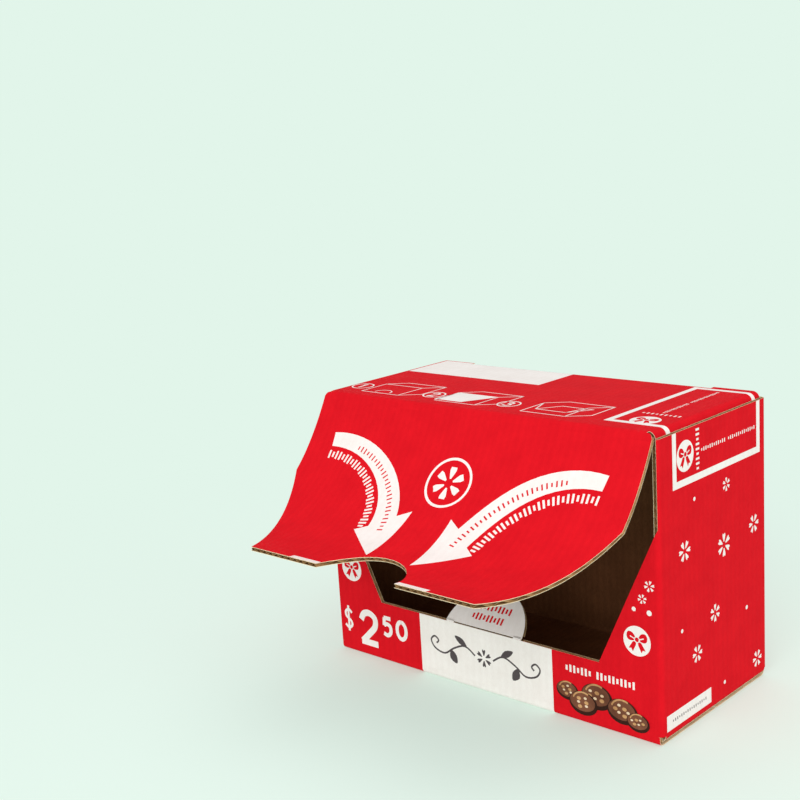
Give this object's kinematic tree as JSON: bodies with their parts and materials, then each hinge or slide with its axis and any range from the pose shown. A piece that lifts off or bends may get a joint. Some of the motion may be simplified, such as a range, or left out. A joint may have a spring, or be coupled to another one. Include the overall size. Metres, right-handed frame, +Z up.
{
  "type": "counter display box",
  "caption": "Folded corrugated counter display box with a low front lip, slanted wings, a curled tear-open front flap and a push-in finger tab.",
  "frame": {"origin": "middle of the box's footprint, on the surface it stands on", "axes": "+Z up, the open front faces -Y, +X to the right seen from the front"},
  "size_m": [0.32, 0.2863, 0.227],
  "materials": {
    "printed_board": "red print with a soft sheen, brown inside",
    "white_board": "white print with a soft sheen"
  },
  "bodies": {
    "carton": {"carton": "printed_board"},
    "front_flap": {"front_flap": "printed_board"},
    "finger_tab": {"finger_tab": "white_board"}
  },
  "joints": [
    {"name": "front_flap_hinge", "type": "hinge", "parent": "carton", "child": "front_flap", "pos_m": [0, -0.074, 0.22646], "axis": [-1, 0, 0], "range_deg": [-12, 150]},
    {"name": "finger_tab_hinge", "type": "hinge", "parent": "carton", "child": "finger_tab", "pos_m": [0, -0.0751, 0.05195], "axis": [-1, 0, 0], "range_deg": [-45, 40]}
  ]
}
